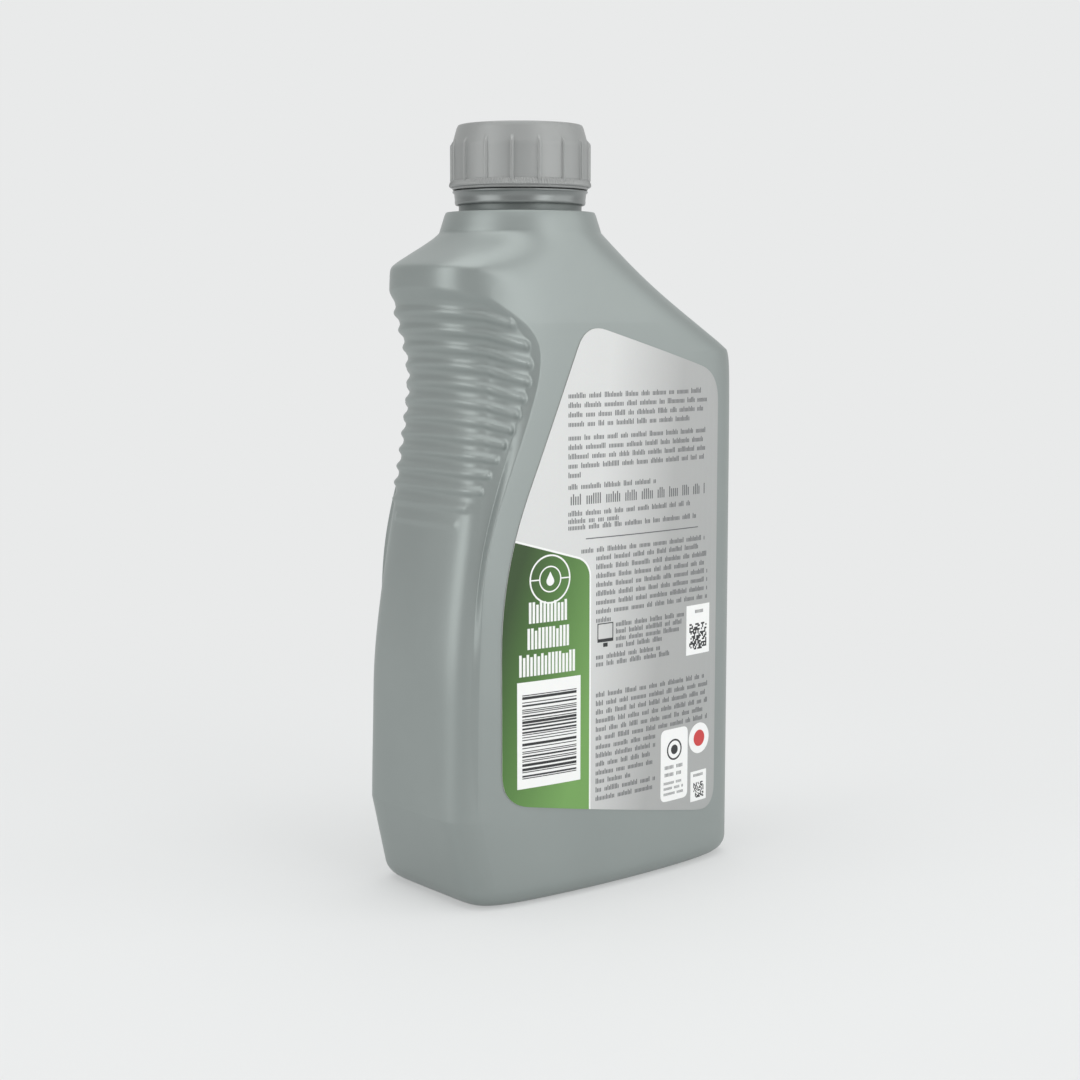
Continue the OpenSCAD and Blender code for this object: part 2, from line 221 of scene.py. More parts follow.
def noise(tree, place, scale, detail=2.0):
    """Cloudy noise: its outputs are a value and a colour."""
    return add_node(tree, "TexNoise", {"Vector": place, "Scale": scale, "Detail": detail}).outputs


def colour_ramp(tree, value, stops):
    """Turn a value into a colour, through stops of a position and a colour."""
    node = add_node(tree, "ValToRGB", {"Fac": value})
    elements = node.color_ramp.elements
    elements[0].position, elements[0].color = stops[0]
    elements[1].position, elements[1].color = stops[-1]
    for position, colour in stops[1:-1]:
        elements.new(position).color = colour
    return node.outputs["Color"]


def mix_colours(tree, factor, first, second, kind="MIX"):
    node = tree.nodes.new("ShaderNodeMix")
    node.data_type, node.blend_type = "RGBA", kind
    feed(tree, node, {"Factor": factor, "A": first, "B": second})
    return node.outputs["Result"]


def show_mixed(tree, output, factor, first, second):
    """Mix two shaders and show the result."""
    node = add_node(tree, "MixShader", {0: factor, 1: first, 2: second})
    feed(tree, tree.nodes[output], {"Surface": node.outputs["Shader"]})


# %% Floor
floor_half = 3.0
bm = bmesh.new()
bmesh.ops.create_grid(bm, x_segments=1, y_segments=1, size=floor_half)
floor_mesh = bpy.data.meshes.new("floor")
bm.to_mesh(floor_mesh)
bm.free()
floor = place_object("floor", floor_mesh)

backdrop_colour = srgb(233, 234, 234)
paper_span, near_paper = (0.1, 0.5), 0.45
floor_material, tree, shader, place = new_material("floor_paper")
feed(tree, shader, {"Base Color": srgb(222, 224, 224), "Roughness": 0.9})
away = vector_maths(tree, "LENGTH", place)
fade = stretched(tree, away, paper_span, (near_paper, 1.0), "SMOOTHSTEP")
ray = add_node(tree, "LightPath", {}).outputs
looked_at = maths(tree, "MAXIMUM", ray["Is Camera Ray"], ray["Is Glossy Ray"])
paper = add_node(tree, "Emission", {"Color": backdrop_colour})
show_mixed(tree, "Material Output", maths(tree, "MULTIPLY", fade, looked_at),
           shader.outputs["BSDF"], paper.outputs["Emission"])
floor_mesh.materials.append(floor_material)

# %% [markdown]
# The world is plain white fill, weak enough for the boxes to model the form. The
# camera sees paper instead, and so do reflections of what lies behind the bottle:
# a dot product with the direction of view tells how far behind a ray points.

# %% World
away_from_camera, sweep_span, fill_strength = (0.63, 0.777, 0.0), (0.35, 0.85), 0.52
world = bpy.data.worlds.new("studio")
bpy.context.scene.world = world
world.use_nodes = True
tree = world.node_tree
fill = feed(tree, tree.nodes["Background"], {
    "Color": (1.0, 1.0, 1.0, 1.0), "Strength": fill_strength})
paper = add_node(tree, "Background", {"Color": backdrop_colour})
ray = add_node(tree, "LightPath", {}).outputs
direct = maths(tree, "MAXIMUM", ray["Is Camera Ray"], ray["Is Transmission Ray"])
towards = add_node(tree, "TexCoord", {}).outputs["Generated"]
behind = vector_maths(tree, "DOT_PRODUCT", towards, away_from_camera)
mirrored = maths(tree, "MULTIPLY", ray["Is Glossy Ray"], stretched(tree, behind, sweep_span))
show_mixed(tree, "World Output", maths(tree, "MAXIMUM", direct, mirrored),
           fill.outputs["Background"], paper.outputs["Background"])

# %% Soft boxes


def soft_box(name, azimuth, width, height, away, power):
    """A tall lamp that stands on the floor and faces the bottle."""
    data = bpy.data.lights.new(name, "AREA")
    data.shape = "RECTANGLE"
    data.size, data.size_y = width, height
    data.energy = power
    lamp = place_object(name, data)
    turn = math.radians(azimuth)
    lamp.location = (away * math.cos(turn), away * math.sin(turn), height / 2)
    lamp.rotation_euler = (math.pi / 2, 0.0, turn + math.pi / 2)
    lamp.visible_camera = False


soft_box("grip_side_box", 174.0, 0.95, 1.3, 1.3, 6.4)
soft_box("label_side_box", 274.0, 0.64, 1.3, 1.3, 5.4)
soft_box("label_fill_box", 314.0, 1.2, 1.5, 1.5, 5.7)

top_data = bpy.data.lights.new("top_box", "AREA")
top_data.size, top_data.energy = 1.8, 15.0
top_box = place_object("top_box", top_data)
top_box.location = (0.0, 0.0, 1.6)
top_box.visible_camera = False
bpy.context.scene.view_settings.view_transform = "Standard"

# %% [markdown]
# ## Making pieces
# Each piece is made in a bmesh with Blender's own operators. Its points are in
# millimetres until the piece is finished, and then shrunk to metres in one go,
# so that the object itself stays at the origin, unturned and unscaled.

# %% Finishing a piece


def finish_piece(bm, name, body, material, smooth=True):
    """Turn a bmesh in millimetres into a piece that rides on a body."""
    bmesh.ops.recalc_face_normals(bm, faces=bm.faces)
    bmesh.ops.scale(bm, vec=(MM, MM, MM), verts=bm.verts)
    for face in bm.faces:
        face.smooth = smooth
    mesh = bpy.data.meshes.new(name)
    bm.to_mesh(mesh)
    bm.free()
    mesh.materials.append(material)
    piece = place_object(name, mesh)
    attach(piece, body)
    triangles = sum(polygon.loop_total - 2 for polygon in mesh.polygons)
    print(name, len(mesh.vertices), "points,", triangles, "triangles")
    return piece


# %% Curves that several pieces share


def ease(t):
    """Gentle S from 0 to 1."""
    u = max(0.0, min(1.0, t))
    return u * u * (3 - 2 * u)


def bell(d, reach):
    """Falls from 1 in the middle to 0 at its reach."""
    return (1 + math.cos(math.pi * d / reach)) / 2 if abs(d) < reach else 0.0


def mix(a, b, t):
    return a + (b - a) * t


def soft_min(a, b, k):
    return (a + b - math.hypot(a - b, k)) / 2


def soft_max(a, b, k):
    return (a + b + math.hypot(a - b, k)) / 2


def spaced(a, b, count):
    """Even steps from a up to, but not including, b."""
    return [mix(a, b, i / count) for i in range(count)]


# %% [markdown]
# ## The blown body
# Blowing presses a soft tube of plastic against a mould, so every form flows
# into the next: the flat bowed faces, the pressed grip with its ribs, the
# sloping shoulder and the round collar. A lathe or boxes can't give that. One
# grid is wrapped round the bottle instead, and each of its points is placed by
# the same curves as the solid: s runs round from the middle of the grip side,
# and h runs up.

# %% The plain envelope


def climb(z, low):
    """How far a height is on its way from low to the collar."""
    return max(0.0, (z - low) / (collar_z - low))


def heel_in(z):
    return heel_r - math.sqrt(heel_r ** 2 - (heel_r - max(z, 0.0)) ** 2) if z < heel_r else 0.0


def grip_side_x(h):
    """Side view: leans in to the brow, then a roof runs up to the collar."""
    leaned = half_w - brow_in * ease((h - crease_z) / (brow_z - crease_z))
    toed = toe_in * (1 - h / crease_z) if h < crease_z else 0.0
    t = (h - brow_z) / (collar_z - brow_z)
    sag = roof_sag * math.sin(math.pi * max(0.0, min(1.0, t)))
    return -soft_min(leaned - toed, mix(half_w - brow_in, collar_r - neck_x, t) - sag, brow_soft)


def far_side_x(z):
    """Side view: upright up to the shoulder, then a slope that sags a little."""
    t = (z - shoulder_z) / (collar_z - shoulder_z)
    sag = shoulder_sag * math.sin(math.pi * max(0.0, min(1.0, t)))
    return soft_min(half_w, mix(half_w, collar_r + neck_x, t) - sag, shoulder_soft)


def on_square(s):
    """Where s lies on a square that stands for the plan of the body."""
    if s < side_w:
        return -1.0, s / side_w
    if s < side_w + body_w:
        return (s - side_w) / half_w - 1, 1.0
    return 1.0, 1 - (s - side_w - body_w) / side_w


def section(h, z, t):
    """The values that one level needs: h is its row, z where the row lies."""
    round_off = min(1.0, climb(z, draw_in_z)) ** draw_in_power
    centre = neck_x * ease(climb(z, shoulder_z))
    to_brow = ease((h - grip_round_z) / (brow_z - grip_round_z))
    left = mix(mix(corner_power, brow_power, to_brow), 2, ease(climb(h, brow_z)))
    right = mix(corner_power, 2, min(1.0, climb(z, shoulder_z)) ** far_round_power)
    return (round_off, centre, t + heel_in(z - t), (left, centre - grip_side_x(h)),
            (right, far_side_x(z) - centre))


def envelope(s, h, z, t=0.0):
    """Plan of the plain body at height z, drawn in by t."""
    a, b = on_square(s)
    round_off, centre, inward, left, right = section(h, z, t)
    power, reach = left if a < 0 else right
    k = (abs(a) ** power + abs(b) ** power) ** (-1 / power)
    x = centre + k * a * (reach - inward)
    bowed = face_bow * (1 - round_off) * (1 - (x / half_w) ** 2)
    return Vector((x, k * b * (mix(side_w, collar_r, round_off) + bowed - inward)))


# %% [markdown]
# The grip is pressed into the narrow side and a little on to both wide faces,
# inside a rolled edge. It is deepest at the height of the hand, and thirteen ribs
# cross it. Each of its points moves towards one line inside the bottle.

# %% The grip


def flared(h):
    """How far the edge has flared out from low to high, 0 to nearly 1."""
    flare = (h - flare_low_z) / (flare_high_z - flare_low_z)
    return soft_min(1, soft_max(0, flare, flare_soft[0]), flare_soft[1])


def edge_s(h):
    """How far round the rolled edge of the grip lies at row height h."""
    if h > edge_turn_z:
        up = min(1.0, (h - edge_turn_z) / edge_turn) ** edge_power
        return edge_far * max(0.001, 1 - up) ** (1 / edge_power)
    return mix(edge_low, edge_far, flared(h) / flared(edge_turn_z))


def inside_edge(s, h):
    """Distance inside the rolled edge."""
    if h <= edge_turn_z:
        return soft_min(edge_s(h) - s, (h - crease_z) * crease_ease, crease_soft)
    a, b, p = (h - edge_turn_z) / edge_turn, s / edge_far, edge_power
    f = max(1e-6, a ** p + b ** p)
    slope = f ** (1 / p - 1) * math.hypot(a ** (p - 1) / edge_turn, b ** (p - 1) / edge_far)
    return (1 - f ** (1 / p)) / max(slope, 0.01)


def slanted(u):
    """Rises evenly from 0 at the edge and levels off softly at 1."""
    top = soft_max(0, 1, slant_soft)
    return (top - soft_max(0, 1 - u, slant_soft)) / (top - slant_soft / 2)


def grip_depth_at(s, h, t):
    """How deep the grip is pressed in, less the belly that fills its middle."""
    hold = bell(h - grip_z, hold_above if h > grip_z else hold_below)
    across = ease((s - side_to_face[0]) / (side_to_face[1] - side_to_face[0]))
    depth = panel_depth + mix(grip_depth, grip_face_depth, across) * hold
    at_corner = bell(s - side_w - corner_cut_off, corner_cut_reach)
    depth += corner_cut * at_corner * bell(h - corner_cut_z, corner_cut_tall)
    u = max(0.0, min(1.0, (inside_edge(s, h) + t) / edge_w))
    crisp = (ease((s - crisp_s[0]) / (crisp_s[1] - crisp_s[0]))
             * ease((edge_turn_z + crisp_over - h) / crisp_fade))
    rolled = mix(ease(u), slanted(u), crisp)
    full = belly * bell(s, belly_reach) * ease((h - belly_low_z) / belly_rise)
    return depth * rolled - full * ease((belly_top_z - h) / belly_fall)


def rib_at(s, h):
    """Height of the nearest rib, which ends in a round tip inside the edge."""
    i = max(0, min(rib_count - 1, round((rib_top_z - h) / rib_pitch)))
    z = rib_top_z - rib_pitch * i
    near_edge = edge_s(min(z + rib_head, edge_top_z - rib_head))
    end = near_edge - rib_margin - rib_taper * max(0.0, rib_full_z - z) ** 2
    along = max(0.0, s - end)
    tall = rib_h * rib_fade[max(0, i - rib_count + len(rib_fade))]
    rise = tall * bell(math.hypot(along, h - z), rib_pitch * rib_share / 2)
    return rise + nub_h * tall * bell(math.hypot(s - end, h - z), nub_reach)


def arch(s, h):
    """How far the ribs and the brow hang down towards the wide faces."""
    lift = min(1.0, max(0.0, (collar_z - h) / (collar_z - brow_z)))
    across = (min(s, edge_far) / edge_far) ** 2
    return arch_drop * across * ease((h - arch_low_z) / (arch_high_z - arch_low_z)) * lift


def skin(s, h, t=0.0):
    """One point of the body: s round, h up before the arch, t under the skin."""
    z = h - arch(s, h)
    plan = envelope(s, h, z, t)
    deep = grip_depth_at(s, h, t) - (0.0 if t > 0 else rib_at(s, h))
    plan += (pressed_to - plan).normalized() * deep
    return Vector((plan.x, plan.y, z))


# %% [markdown]
# The columns of the grid follow the rolled edge of the grip, so that its crisp
# line isn't cut into steps. Above the grip they slide over to even angles,
# because the collar and the neck are round.

# %% Columns of the grid
grip_cols, roll_cols, face_cols, corner_cols, end_cols = 30, 26, 18, 34, 12
half_cols = grip_cols + roll_cols + face_cols + corner_cols + end_cols
all_cols = 2 * half_cols
roll_in, roll_out, corner_reach = 7.0, 1.6, 13.0


def fitted_columns(h):
    s = max(edge_s(h), edge_low)
    corner = side_w + body_w
    return (spaced(0, s - roll_in, grip_cols)
            + spaced(s - roll_in, s + roll_out, roll_cols)
            + spaced(s + roll_out, corner - corner_reach, face_cols)
            + spaced(corner - corner_reach, corner + corner_reach, corner_cols)
            + spaced(corner + corner_reach, corner + side_w, end_cols) + [corner + side_w])


def even_columns():
    """Distances round that give even angles about the neck."""
    found = []
    for i in range(half_cols + 1):
        turn = math.pi * i / half_cols
        a, b = -math.cos(turn), math.sin(turn)
        a, b = a / max(abs(a), abs(b)), b / max(abs(a), abs(b))
        if a <= -1 + 1e-9:
            found.append(b * side_w)
        elif b >= 1 - 1e-9:
            found.append(side_w + (a + 1) * half_w)
        else:
            found.append(side_w + body_w + (1 - b) * side_w)
    return found


round_columns = even_columns()


def columns(h):
    blend = ease((h - edge_top_z) / (collar_z - edge_top_z))
    return [mix(a, b, blend) for a, b in zip(fitted_columns(h), round_columns)]


print("columns round the bottle", all_cols)

# %% Rows of the grid


def body_ring(h, t=0.0):
    """A whole ring of points, front first, then its mirror image."""
    half = [skin(s, h, t) for s in columns(h)]
    front = [Vector((p.x, -p.y, p.z)) for p in half]
    return front + half[-2::-1]


def neck_ring(r, z):
    turns = [math.pi + 2 * math.pi * i / all_cols for i in range(all_cols + 1)]
    return [Vector((neck_x + r * math.cos(a), r * math.sin(a), z)) for a in turns]


def pulled(ring, share, z):
    """A ring drawn in towards the middle of the base."""
    return [Vector((mix(toe_in / 2, p.x, share), p.y * share, z)) for p in ring]


def base_rings(t):
    """From the middle of the base out to the foot."""
    foot = body_ring(t, t)
    shares = [(0.0, 1), (0.3, 1), (0.6, 1), (0.8, 1), (0.86, 1), (0.88, 0.8), (0.9, 0.4),
              (0.92, 0.1), (0.94, 0)]
    return [pulled(foot, share, push_up * up + t) for share, up in shares]


rib_low_z = rib_top_z - rib_pitch * rib_count
heel_heights = [heel_r * (1 - math.cos(math.pi / 2 * i / 8)) for i in range(8)]
outer_heights = (
    heel_heights + spaced(heel_r, crease_z - 1, 8) + spaced(crease_z - 1, crease_z + 4, 10)
    + spaced(crease_z + 4, rib_low_z, 26) + spaced(rib_low_z, rib_top_z + 2, 11 * rib_count)
    + spaced(rib_top_z + 2, edge_top_z + 0.5, 16) + spaced(edge_top_z + 0.5, brow_z - 1.5, 4)
    + spaced(brow_z - 1.5, brow_z + 1.5, 8) + spaced(brow_z + 1.5, collar_z, 12) + [collar_z])
inner_heights = (
    [wall + h for h in heel_heights[::2]] + spaced(wall + heel_r, rib_low_z, 8)
    + spaced(rib_low_z, edge_top_z, 14) + spaced(edge_top_z, collar_z - 1, 6) + [collar_z - 1])
print("rows outside", len(outer_heights), "and inside", len(inner_heights))

# %% [markdown]
# The neck is moulded with the body, so its rows carry on from the collar: up
# the cone of the collar, over its rounded lip, past the bead that holds the
# tamper band, over the rim and down the bore, where they meet the inner skin.

# %% Profile of the neck
land_r = neck_r + land_out
bead_r = neck_r + bead_out
bore_r = neck_r - neck_wall


def arc(centre, r, start, end, count):
    """Points of an arc in a profile, angles in degrees."""
    angles = [math.radians(mix(start, end, i / count)) for i in range(count + 1)]
    return [(centre[0] + r * math.cos(a), centre[1] + r * math.sin(a)) for a in angles]


lip = 0.4
neck_profile = (
    [(collar_r - 0.05, collar_z + 0.15)]
    + [(mix(collar_r, collar_top_r, t), collar_z + collar_h * t) for t in (0.3, 0.6, 0.85)]
    + arc((collar_top_r - lip, collar_top_z - lip), lip, 15, 90, 4)
    + [(land_r + 0.8, collar_top_z), (land_r + 0.25, collar_top_z + 0.1)]
    + [(land_r, collar_top_z + 0.4), (land_r, bead_z - 0.2)]
    + arc((bead_r - 0.5, bead_z + 0.5), 0.5, -60, 0, 3)
    + arc((bead_r - 0.5, bead_z + bead_h - 0.5), 0.5, 0, 80, 3)
    + [(neck_r + 0.2, bead_z + bead_h), (neck_r, bead_z + bead_h + 0.3), (neck_r, mouth_z - 0.5)]
    + arc((neck_r - 0.4, mouth_z - 0.4), 0.4, 0, 90, 3)
    + arc((bore_r + 0.4, mouth_z - 0.4), 0.4, 90, 180, 3)
    + [(bore_r, bead_z), (bore_r, collar_top_z), (bore_r + 0.4, collar_top_z - neck_wall),
       (collar_top_r - 3, collar_top_z - neck_wall - 1), (collar_top_r - wall - 0.4, collar_z + 3)])

# %% Wrap the grid round the bottle
rings = base_rings(0.0) + [body_ring(h) for h in outer_heights]
rings += [neck_ring(r, z) for r, z in neck_profile]
rings += [body_ring(h, wall) for h in reversed(inner_heights)] + base_rings(wall)[::-1]

bm = bmesh.new()
bmesh.ops.create_grid(bm, x_segments=all_cols, y_segments=len(rings) - 1, size=0.5)
for vert in bm.verts:
    column = round((vert.co.x + 0.5) * all_cols)
    row = round((vert.co.y + 0.5) * (len(rings) - 1))
    vert.co = rings[row][column]
bmesh.ops.remove_doubles(bm, verts=bm.verts, dist=1e-4)
open_edges = sum(1 for edge in bm.edges if not edge.is_manifold)
print("open edges on the bottle", open_edges)

# %% [markdown]
# ## Plastics
# The bottle is silver-grey pearl plastic: satin, with a faint cloudy change of
# tone and a very fine orange peel from the mould. A metallic share gives the
# pearl its broad sheen. The cap is a plainer grey with a little less sheen.

# %% A moulded plastic


# Painted shade: the dark colour that a shaded slot is mixed towards, and how softly it starts.
painted_shade_colour, painted_shade_soft = (0.02, 0.025, 0.024, 1.0), 0.3
cloud_scale, gloss_change, peel_strength = 28.0, 0.03, 0.2


def paint_slot_shade(tree, place, colour, low, high, depth):
    """Darken a colour between two heights: painted shade for a slot that lies in shade."""
    split = add_node(tree, "SeparateXYZ", {"Vector": place})
    middle, half = (low + high) / 2 * MM, (high - low) / 2 * MM
    off = maths(tree, "SUBTRACT", split.outputs["Z"], middle)
    shade_share = stretched(tree, maths(tree, "ABSOLUTE", off), (half - painted_shade_soft * MM, half),
                       (depth, 0.0))
    return mix_colours(tree, shade_share, colour, painted_shade_colour)


def moulded_plastic(name, light, dark, roughness, metallic, peel_scale, peel_depth, painted_shade_span=None):
    """Satin plastic with cloudy tone, uneven gloss and a fine moulded surface."""
    material, tree, shader, place = new_material(name)
    cloud = noise(tree, place, cloud_scale, 3.0)["Fac"]
    colour = colour_ramp(tree, cloud, [(0.3, dark), (0.7, light)])
    # Painted shade: where asked, the colour is darkened in a slot that lies in shade.
    if painted_shade_span:
        colour = paint_slot_shade(tree, place, colour, *painted_shade_span)
    gloss = (roughness - gloss_change, roughness + gloss_change)
    bump = add_node(tree, "Bump", {
        "Strength": peel_strength, "Distance": peel_depth * MM,
        "Height": noise(tree, place, peel_scale)["Fac"]})
    feed(tree, shader, {
        "Base Color": colour, "Roughness": stretched(tree, cloud, (0.0, 1.0), gloss),
        "Normal": bump.outputs["Normal"], "Metallic": metallic})
    return material


# Painted shade on the bottle: the land between the collar and the tamper band is darkened as if the
# band shaded it.
painted_slot_span = (collar_top_z + 0.12, band_low.z + 1.2, 0.5)
bottle_plastic = moulded_plastic("pearl_grey_plastic", srgb(148, 155, 153), srgb(144, 151, 149),
                                 0.41, 0.55, 900.0, 0.05, painted_slot_span)
cap_plastic = moulded_plastic("cap_grey_plastic", srgb(152, 154, 153), srgb(148, 150, 149),
                              0.46, 0.4, 1400.0, 0.04)
band_plastic = moulded_plastic("band_grey_plastic", srgb(130, 134, 133), srgb(126, 130, 129),
                               0.3, 0.65, 1400.0, 0.04)
disc_foam = moulded_plastic("white_foam", srgb(226, 226, 220), srgb(218, 218, 212),
                            0.7, 0.0, 2600.0, 0.08)

# %% Finish the bottle
bottle_shell = finish_piece(bm, "bottle_shell", "bottle", bottle_plastic)
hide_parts("bottle")

# %% [markdown]
# ## Threads
# The thread is a ridge of one section carried round and up: Blender's spin
# operator does both when it is given a step along the axis. Both ends fade into
# the wall, so the section's points are moved towards the root there.

# %% A thread
thread_pitch = 4.23


def thread(bm, root_r, crest_r, start_z, turns, steps_per_turn=72, fade=0.12):
    """Spin a thread's section up a helix round the neck axis."""
    foot, crest = 1.1, 0.45
    corners = [(root_r, -foot), (crest_r, -crest), (crest_r, crest), (root_r, foot)]
    verts = [bm.verts.new((neck_x + r, 0.0, start_z + dz)) for r, dz in corners]
    section_face = bm.faces.new(verts)
    steps = int(turns * steps_per_turn)
    angle = 2 * math.pi * turns
    bmesh.ops.spin(bm, geom=[section_face] + verts + list(section_face.edges),
                   cent=(neck_x, 0.0, 0.0), axis=(0.0, 0.0, 1.0),
                   dvec=(0.0, 0.0, thread_pitch * turns / steps), angle=angle, steps=steps,
                   use_merge=False, use_duplicate=False)
    rise = thread_pitch * turns
    for vert in bm.verts:
        arm = Vector((vert.co.x - neck_x, vert.co.y, 0.0))
        turned = math.atan2(arm.y, arm.x) % (2 * math.pi)
        along = (vert.co.z - start_z) / rise
        whole = round(along * turns - turned / (2 * math.pi))
        share = (turned / (2 * math.pi) + whole) / turns
        r = mix(root_r, arm.length, ease(min(share, 1 - share) / fade))
        arm = arm.normalized() * r
        vert.co.x, vert.co.y = neck_x + arm.x, arm.y


# %% Thread of the neck
neck_thread_bm = bmesh.new()
thread(neck_thread_bm, neck_r - 0.05, neck_r + 1.2, bead_z + 4.2, 2.0)
finish_piece(neck_thread_bm, "neck_thread", "bottle", bottle_plastic)

# %% [markdown]
# ## Turned pieces
# The cap and the band are round, so each is a profile spun about the neck axis.
# The cap is spun in fine steps, and then its points are moved out where a fin
# passes. The steps are crowded together at the fins, so each fin stays crisp.

# %% Spin a profile


def spun(bm, profile, steps):
    """Spin a closed profile of (radius, height) round the neck axis."""
    verts = [bm.verts.new((neck_x + r, 0.0, z)) for r, z in profile]
    edges = [bm.edges.new((verts[i], verts[(i + 1) % len(verts)])) for i in range(len(verts))]
    bmesh.ops.spin(bm, geom=verts + edges, cent=(neck_x, 0.0, 0.0), axis=(0.0, 0.0, 1.0),
                   dvec=(0.0, 0.0, 0.0), angle=2 * math.pi, steps=steps, use_merge=True,
                   use_duplicate=False)
    bmesh.ops.remove_doubles(bm, verts=bm.verts, dist=1e-4)


# %% Cap profile
cap_z, cap_top_z = cap_low.z, cap_high.z
fin_count, fin_w, fin_out = 16, 1.0, 0.75
cap_r, cap_wall, slope_h, slope_in, plate_t = 20.3, 1.3, 6.0, 1.7, 1.6
flange_h, cap_bead_h, cap_bead_out = 0.7, 2.6, 0.75
slope_z = cap_top_z - slope_h
plate_z = cap_top_z - plate_t
bead_top_z = cap_z + flange_h + cap_bead_h


def side_r(z):
    return mix(cap_r, cap_r - slope_in, max(0.0, (z - slope_z) / slope_h))


edge_round = 0.5
fin_rows = spaced(bead_top_z - 0.6, slope_z, 10) + spaced(slope_z, cap_top_z - edge_round, 12)
cap_profile = (
    [(0.0, plate_z), (side_r(plate_z) - cap_wall - 0.5, plate_z)]
    + [(side_r(plate_z) - cap_wall, plate_z - 0.5), (cap_r - cap_wall, slope_z)]
    + [(cap_r - cap_wall, cap_z + 0.3), (cap_r - cap_wall + 0.25, cap_z)]
    + [(cap_r - 0.3, cap_z), (cap_r - 0.1, cap_z + 0.2), (cap_r - 0.1, cap_z + flange_h)]
    + [(side_r(z), z) for z in fin_rows]
    + arc((side_r(cap_top_z) - edge_round, cap_top_z - edge_round), edge_round, 15, 90, 6)
    + [(16.5, cap_top_z), (16.0, cap_top_z - 0.12)]
    + [(6.0, cap_top_z - 0.14), (0.0, cap_top_z - 0.14)])

# %% Cap fins
fin_steps = 26
fin_share = 0.5
fin_zone = 0.17
fin_fade_z, fin_fade = slope_z + 1.9, 1.6


def crowd(turn):
    """Draw the angles inside each fin's cell together round its fin."""
    cell = 2 * math.pi / fin_count
    nearest = round(turn / cell)
    off = turn / cell - nearest
    size = abs(off) * 2
    if size < fin_share:
        moved = size / fin_share * fin_zone
    else:
        moved = mix(fin_zone, 1.0, (size - fin_share) / (1 - fin_share))
    return (nearest + math.copysign(moved / 2, off)) * cell


def fin_height(across, z):
    """Rounded section of a fin, faded out at its top."""
    edge = min(1.0, abs(across) / (fin_w / 2))
    section_h = (1 - edge ** 4) ** 0.5
    return fin_out * section_h * ease((fin_fade_z - z) / fin_fade)


cap_bm = bmesh.new()
spun(cap_bm, cap_profile, fin_count * fin_steps)
for vert in cap_bm.verts:
    arm = Vector((vert.co.x - neck_x, vert.co.y, 0.0))
    if arm.length < 1e-3:
        continue
    turn = crowd(math.atan2(arm.y, arm.x))
    r = arm.length
    if vert.co.z > bead_top_z - 0.7 and r > side_r(vert.co.z) - 0.05 and vert.co.z < fin_fade_z:
        cell = 2 * math.pi / fin_count
        across = (turn - round(turn / cell) * cell) * r
        r += fin_height(across, vert.co.z)
    vert.co.x, vert.co.y = neck_x + r * math.cos(turn), r * math.sin(turn)

# %% [markdown]
# The bead above the rim of the cap is finely notched all round, for grip. It is
# a second spin with many more steps, whose points step in and out.

# %% Notched bead
notches = 150
steps_per_notch = 4
notch_deep = 0.22
bead_low_z = cap_z + flange_h
bead_profile = (
    [(cap_r - 0.5, bead_low_z)]
    + [(cap_r + cap_bead_out * 0.7, bead_low_z), (cap_r + cap_bead_out, bead_low_z + 0.25)]
    + [(cap_r + cap_bead_out, bead_low_z + 0.6), (cap_r + cap_bead_out * 0.75, bead_low_z + 1.1)]
    + [(cap_r + cap_bead_out * 0.5, bead_low_z + 1.6)]
    + [(cap_r + cap_bead_out * 0.2, bead_low_z + 2.05), (cap_r - 0.5, bead_low_z + 2.15)])
notch_bm = bmesh.new()
spun(notch_bm, bead_profile, notches * steps_per_notch)
for vert in notch_bm.verts:
    arm = Vector((vert.co.x - neck_x, vert.co.y, 0.0))
    turn = math.atan2(arm.y, arm.x)
    wave = math.cos(turn * notches) * bell(vert.co.z - (bead_low_z + 1.2), 1.3)
    if arm.length > cap_r:
        arm *= 1 + notch_deep * wave / arm.length
    vert.co.x, vert.co.y = neck_x + arm.x, arm.y
notch_mesh = bpy.data.meshes.new("notched_bead")
notch_bm.to_mesh(notch_mesh)
notch_bm.free()
cap_bm.from_mesh(notch_mesh)
cap_shell = finish_piece(cap_bm, "cap_shell", "cap", cap_plastic)
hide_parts("cap")

# %% Thread of the cap
cap_thread_bm = bmesh.new()
thread(cap_thread_bm, cap_r - cap_wall + 0.05, cap_r - cap_wall - 1.05, bead_z + 6.3, 1.5)
finish_piece(cap_thread_bm, "cap_thread", "cap", cap_plastic)

# %% Tamper band
band_z, band_top_z = band_low.z, band_high.z
band_r = (band_high.x - band_low.x) / 2
band_in_r = band_r - 0.65
band_flange = 0.4
band_profile = (
    [(land_r + 0.2, bead_z - 0.05), (land_r + 0.2, band_z + 0.2), (land_r + 0.4, band_z)]
    + [(band_r - 0.65, band_z), (band_r - 0.45, band_z + 0.12), (band_r - 0.3, band_z + 0.5)]
    + [(band_r - 0.22, band_z + 1.1), (band_r - 0.3, band_z + 1.25)]
    + [(band_r - 0.1, band_top_z - 0.95), (band_r + band_flange - 0.1, band_top_z - 0.55)]
    + [(band_r + band_flange, band_top_z - 0.45), (band_r + band_flange, band_top_z - 0.15)]
    + [(band_r + band_flange - 0.15, band_top_z), (band_in_r, band_top_z)]
    + [(band_in_r, bead_z - 0.05)])
band_bm = bmesh.new()
spun(band_bm, band_profile, 160)
band_ring = finish_piece(band_bm, "band_ring", "bottle", band_plastic)
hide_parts("tamper_band")

# %% [markdown]
# ## The label
# The label is a thin printed film on the bowed face. It is drawn flat, as a
# printer would, with x across, z up and y for its thickness, and then every
# point is pushed on to the face of the bottle.

# %% Where the face is


def face_depth(x, z):
    """How far the wide face stands out at x and z, found by walking the skin there."""
    s, h = side_w + half_w + x, z
    for _ in range(5):
        point = skin(s, h)
        s, h = s + x - point.x, h + z - point.z
    return point.y


